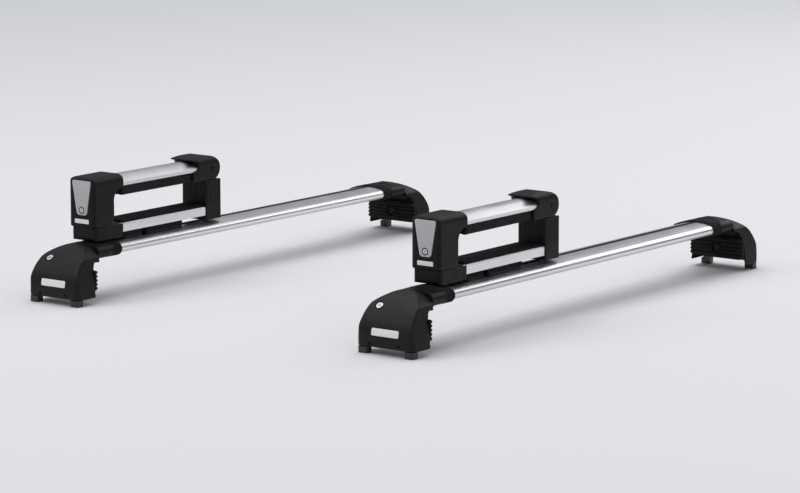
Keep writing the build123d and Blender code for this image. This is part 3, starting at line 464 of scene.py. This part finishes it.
# ---------------------------------------------------------------- feet
for corner in CORNERS:
    low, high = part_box(f"foot_cover_{corner}")
    inboard = 1 if "right" in corner else -1
    face_y = low.y if inboard > 0 else high.y
    mid_x = (low.x + high.x) / 2

    def on_cover(x, z, out):
        """Point on the cover's curved face at a height in millimetres, lifted off it."""
        rise = z - WAIST_Z
        depth = COVER_ARC_R - math.sqrt(COVER_ARC_R**2 - rise**2)
        n = Vector((COVER_ARC_R - depth, rise)) / COVER_ARC_R
        return Vector((mid_x + x * MM, face_y + inboard * (depth - n.x * out) * MM, (z + n.y * out) * MM))

    # Blank badge: a raised plate with rounded rim on the cover's face
    rings = []
    for inset, out in ((0.0, -0.4), (0.0, 0.35), (0.15, 0.6), (0.5, 0.75), (1.2, 0.78)):
        outline = rounded_rect(25.5 - inset, 5.6 - inset, 2.2 - 0.6 * inset)
        rings.append([on_cover(1 + u, 35.5 + v, out) for u, v in outline])
    object_from(f"badge_{corner}", *loft(rings), f"cover_{corner}", "badge")

    # Moulded shell with soft edges, kept exact round the hinge barrel and the lock
    lock_low, lock_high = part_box(f"cover_lock_{corner}")
    lock_mid = (lock_low + lock_high) / 2

    def cover_weight(p):
        from_face = abs(p.y - face_y)
        clear_of_lock = ramp((p - lock_mid).length, 13 * MM, 18 * MM)
        clear_of_hinge = ramp(p.z, 22 * MM, 30 * MM)
        clear_of_rim = ramp(62 * MM - from_face, 0, 5 * MM)
        flank_rim = ramp(41 * MM - from_face, 0, 5 * MM) if p.z < 60 * MM else 1.0
        return clear_of_lock * clear_of_hinge * clear_of_rim * flank_rim

    softened(f"foot_cover_{corner}", f"cover_{corner}", VOXEL, 24, cover_weight)

    # Grip teeth behind the saddle, on both sides of the bolt
    lowest_tooth, tooth_pitch, tooth_count, teeth_root = 25.5, 6.5, 5, 49.5
    tooth = ((3.0, 0.0), (1.9, 0.9), (1.6, 2.3), (0.9, 2.7))
    tooth += tuple((-dz, dy) for dz, dy in reversed(tooth))
    teeth = []
    for side in (-1, 1):
        rings = []
        for x, shrink in ((12.0, 0.6), (12.6, 0.0), (51.4, 0.0), (52.0, 0.6)):
            ring = [(46.05, 21.5 + shrink), (46.05, 55.5 - shrink)]
            for i in reversed(range(tooth_count)):
                mid_z = lowest_tooth + tooth_pitch * i
                ring += [(teeth_root + dy - shrink, mid_z + dz) for dz, dy in tooth]
            row_x = mid_x + side * x * MM
            rings.append([Vector((row_x, face_y + inboard * y * MM, z * MM)) for y, z in ring])
        teeth.append(loft(rings))
    object_from(f"grip_teeth_{corner}", *merge(*teeth), "rack", "rubber")

    # Dark seal round the cover's key cylinder, square to the cover's slope
    cover_key = joint(f"cover_key_{corner}")
    axis = Vector(cover_key["axis"])
    axis = axis if axis.z > 0 else -axis
    at_lock = frame_at(cover_key["pos_m"], axis, (1, 0, 0))
    object_from(f"lock_seal_{corner}", *ring_trim(at_lock, 6.2, 8.0, 0.6), f"cover_{corner}", "rubber")

    # Rounded ribs on the collar where the bar leaves the foot
    ribs = []
    bar_z = (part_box("crossbar_front")[0].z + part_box("crossbar_front")[1].z) / 2
    for start in (103.0, 108.5, 114.0, 119.5):
        rings = []
        for along, grow in ((0.0, 1.2), (0.4, 2.5), (1.2, 3.0), (2.6, 3.0), (3.4, 2.5), (3.8, 1.2)):
            y = face_y + inboard * (start + along) * MM
            rings.append([Vector((mid_x + x * MM, y, bar_z + z * MM)) for x, z in wing_outline(grow)])
        ribs.append(loft(rings, False, False))
    object_from(f"collar_ribs_{corner}", *merge(*ribs), "rack", "rubber")

    # Rubber bead along the curved mouth where the foot's socket meets the collar
    mouth_rim, mouth_depth, mouth_half_width = 104.0, 20.0, 38.0
    loop, normals = [], []
    outline = wing_outline(1.9, 40)
    for i, (x, z) in enumerate(outline):
        before, after = outline[i - 1], outline[(i + 1) % len(outline)]
        along = Vector((after[0] - before[0], 0, after[1] - before[1])).normalized()
        normals.append(Vector((along.z, 0, -along.x)))
        depth = mouth_rim - mouth_depth * math.sqrt(max(0.0, 1 - (x / mouth_half_width) ** 2))
        loop.append(Vector((mid_x + x * MM, face_y + inboard * depth * MM, bar_z + z * MM)))
    object_from(f"mouth_bead_{corner}", *closed_tube(loop, normals, 0.8), "rack", "rubber")

    # Cap over the inner end of the clamp bolt
    bolt_low, bolt_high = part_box(f"clamp_bolt_{corner}")
    bolt_end = bolt_high.y if inboard > 0 else bolt_low.y
    bolt_z = (bolt_low.z + bolt_high.z) / 2
    at_end = frame_at((mid_x, bolt_end, bolt_z), (0, inboard, 0), (0, 0, 1))
    profile = [(7.4, -1.2), (7.4, 0.3), (7.1, 0.7), (6.2, 0.95), (4.2, 1.1)]
    profile += [(3.9, 0.8), (2.0, 0.75), (0.5, 0.75)]
    object_from(f"bolt_cap_{corner}", *loft(turned(at_end, profile)), f"bolt_{corner}", "moulded_plastic")

# ---------------------------------------------------------------- carriers
for carrier in CARRIERS:
    low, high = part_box(f"lock_housing_{carrier}")
    mid_x = (low.x + high.x) / 2
    face_y = low.y
    at_face = frame_at((mid_x, face_y, 0), (0, -1, 0), (0, 0, 1))

    # Blank badge below the release button
    rings = []
    for inset, out in ((0.0, -0.4), (0.0, 0.35), (0.15, 0.55), (0.5, 0.7), (1.0, 0.72)):
        outline = rounded_rect(15.0 - inset, 3.6 - inset, 1.4 - 0.5 * inset)
        rings.append([at_face(u, 127.5 + v, out) for u, v in outline])
    object_from(f"badge_{carrier}", *loft(rings), f"arm_{carrier}", "badge")

    # Seal round the key cylinder in the button
    key_low, key_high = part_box(f"button_lock_{carrier}")
    button_low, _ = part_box(f"release_button_{carrier}")
    key_z = (key_low.z + key_high.z) / 2
    at_key = frame_at((mid_x, button_low.y, key_z), (0, -1, 0), (0, 0, 1))
    object_from(f"key_seal_{carrier}", *ring_trim(at_key, 4.5, 5.9, 0.5), f"button_{carrier}", "rubber")

    # Coil spring between the button and the housing's boss
    spring_low, spring_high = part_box(f"button_spring_{carrier}")
    wire, turns, per_turn = 0.45, 5, 24
    coil_r = (spring_high.x - spring_low.x) / 2 / MM - wire
    centre = (spring_low + spring_high) / 2
    length = (spring_high.y - spring_low.y) / MM - 2 * wire
    rings = []
    for i in range(turns * per_turn + 1):
        a = math.tau * i / per_turn
        y = spring_low.y + (wire + length * i / (turns * per_turn)) * MM
        out = Vector((math.cos(a), 0, math.sin(a)))
        at = Vector((centre.x, y, centre.z)) + out * coil_r * MM
        rings.append([at + (out * u + Vector((0, v, 0))) * MM for u, v in circle(wire, 10)])
    coil = object_from(f"spring_coil_{carrier}", *loft(rings), f"arm_{carrier}", "steel")
    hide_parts(f"button_spring_{carrier}")
    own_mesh(coil)

    # Plugs over the ends of the hinge pin
    pin_low, pin_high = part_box(f"hinge_pin_{carrier}")
    cap_low, cap_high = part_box(f"hinge_cap_{carrier}")
    pin_mid = (pin_low + pin_high) / 2
    profile = [(4.9, -0.5), (4.9, 0.2), (4.6, 0.5), (3.8, 0.7), (2.4, 0.8), (0.6, 0.82)]
    plugs = []
    for side, x in ((-1, cap_low.x), (1, cap_high.x)):
        at_pin = frame_at((x, pin_mid.y, pin_mid.z), (side, 0, 0), (0, 0, 1))
        plugs.append(loft(turned(at_pin, profile)))
    object_from(f"pin_plugs_{carrier}", *merge(*plugs), f"arm_{carrier}", "moulded_plastic")

    # Upright grip ribs on the flanks of the two brackets between the arm and the bar
    rib_pitch, rib_foot_z = 4.6, 94.2
    bracket_low, bracket_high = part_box(f"mount_brackets_{carrier}")
    ribs = []
    for first, last in ((82.0, 119.0), (140.0, 223.0)):
        count = round((last - first) / rib_pitch) + 1
        for i in range(count):
            y = face_y + (first + (last - first) * i / (count - 1)) * MM
            for side, x in ((-1, bracket_low.x), (1, bracket_high.x)):
                at_rib = frame_at((x, y, 0.0), (side, 0, 0), (0, 0, 1))
                top = bracket_high.z / MM - 0.5
                rings = []
                for z, r in ((rib_foot_z, 0.5), (rib_foot_z + 0.6, 1.1), (top - 0.6, 1.1), (top, 0.5)):
                    rings.append([at_rib(u, z, v) for u, v in circle(r, 12)])
                ribs.append(loft(rings))
    object_from(f"bracket_ribs_{carrier}", *merge(*ribs), "rack", "moulded_plastic")

    # Screws in the back of the hinge base
    screw_z = 0.106
    _, base_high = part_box(f"hinge_base_{carrier}")
    screws = []
    for x in (-15, 15):
        at_screw = frame_at((mid_x + x * MM, base_high.y - 0.5 * MM, screw_z), (0, 1, 0), (0, 0, 1))
        screws.append(pan_screw(at_screw, 3.6, 1.8))
    object_from(f"base_screws_{carrier}", *merge(*screws), "rack", "steel")

    # Moulded shells with soft edges
    softened(
        f"lock_housing_{carrier}", f"arm_{carrier}", FINE_VOXEL, 6,
        lambda p: ramp(abs(p.y - face_y), 0, 3 * MM),
    )
    softened(f"hinge_cap_{carrier}", f"arm_{carrier}", FINE_VOXEL, 6, lambda p: 1.0)

    # Rubber pads in the place of their plain CAD solids
    low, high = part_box(f"upper_pad_{carrier}")
    arm_low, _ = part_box(f"upper_profile_{carrier}")
    lobed_pad(
        f"rubber_top_{carrier}", f"upper_pad_{carrier}", f"arm_{carrier}",
        low, Vector((high.x, high.y, arm_low.z - 0.1 * MM)), 4, 4 * MM, False,
    )
    low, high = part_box(f"lower_pad_{carrier}")
    lobed_pad(f"rubber_floor_{carrier}", f"lower_pad_{carrier}", "rack", low, high, 5, 2.0 * MM, True)

# ---------------------------------------------------------------- studio
floor_half = 40.0
floor_verts = [(sx * floor_half, sy * floor_half, 0) for sx, sy in ((-1, -1), (1, -1), (1, 1), (-1, 1))]
floor_mesh = bpy.data.meshes.new("floor")
floor_mesh.from_pydata(floor_verts, [], [(0, 1, 2, 3)])
floor = bpy.data.objects.new("floor", floor_mesh)
bpy.context.scene.collection.objects.link(floor)
floor_mat, floor_shader, _, _ = new_material("floor")
floor_shader.inputs["Base Color"].default_value = (0.80, 0.80, 0.81, 1)
floor_shader.inputs["Roughness"].default_value = 0.7
floor.data.materials.append(floor_mat)


def area_light(name, position, target, size, power):
    data = bpy.data.lights.new(name, "AREA")
    data.shape = "RECTANGLE"
    data.size, data.size_y = size
    data.energy = power
    lamp = bpy.data.objects.new(name, data)
    lamp.location = position
    lamp.rotation_euler = (Vector(target) - Vector(position)).to_track_quat("-Z", "Y").to_euler()
    bpy.context.scene.collection.objects.link(lamp)


CENTRE = (0.0, 0.0, 0.1)
area_light("overhead", (-0.4, 0.8, 4.0), CENTRE, (4.0, 2.5), 38)
area_light("key", (-2.6, -3.4, 2.8), CENTRE, (1.8, 1.8), 30)
area_light("fill", (4.2, -1.6, 1.8), CENTRE, (2.0, 1.4), 8)
area_light("rim", (0.6, 4.4, 2.4), CENTRE, (4.0, 1.2), 34)
sun_data = bpy.data.lights.new("sky", "SUN")
sun_data.energy = 0.74
sun_data.angle = math.radians(50)
sun = bpy.data.objects.new("sky", sun_data)
sun.rotation_euler = (math.radians(12), math.radians(-14), 0)
bpy.context.scene.collection.objects.link(sun)

world = bpy.data.worlds.new("studio")
bpy.context.scene.world = world
world.use_nodes = True
sky = world.node_tree
where = sky.nodes.new("ShaderNodeTexCoord")
split = sky.nodes.new("ShaderNodeSeparateXYZ")
fade = sky.nodes.new("ShaderNodeValToRGB")
fade.color_ramp.elements[0].position = 0.02
fade.color_ramp.elements[0].color = (0.10, 0.105, 0.115, 1)
fade.color_ramp.elements[1].position = 0.75
fade.color_ramp.elements[1].color = (0.92, 0.94, 0.98, 1)
sky.links.new(where.outputs["Generated"], split.inputs[0])
sky.links.new(split.outputs["Z"], fade.inputs["Fac"])
sky.links.new(fade.outputs["Color"], sky.nodes["Background"].inputs["Color"])
sky.nodes["Background"].inputs["Strength"].default_value = 0.60

camera_data = bpy.data.cameras.new("camera")
camera_data.lens = 160.0
camera_data.clip_end = 200.0
camera = bpy.data.objects.new("camera", camera_data)
camera.location = (3.504, -4.686, 1.062)
LOOK_AT = Vector((0.0, 0.0, 0.065))
camera.rotation_euler = (LOOK_AT - camera.location).to_track_quat("-Z", "Y").to_euler()
bpy.context.scene.collection.objects.link(camera)
bpy.context.scene.camera = camera
bpy.context.scene.view_settings.view_transform = "Standard"
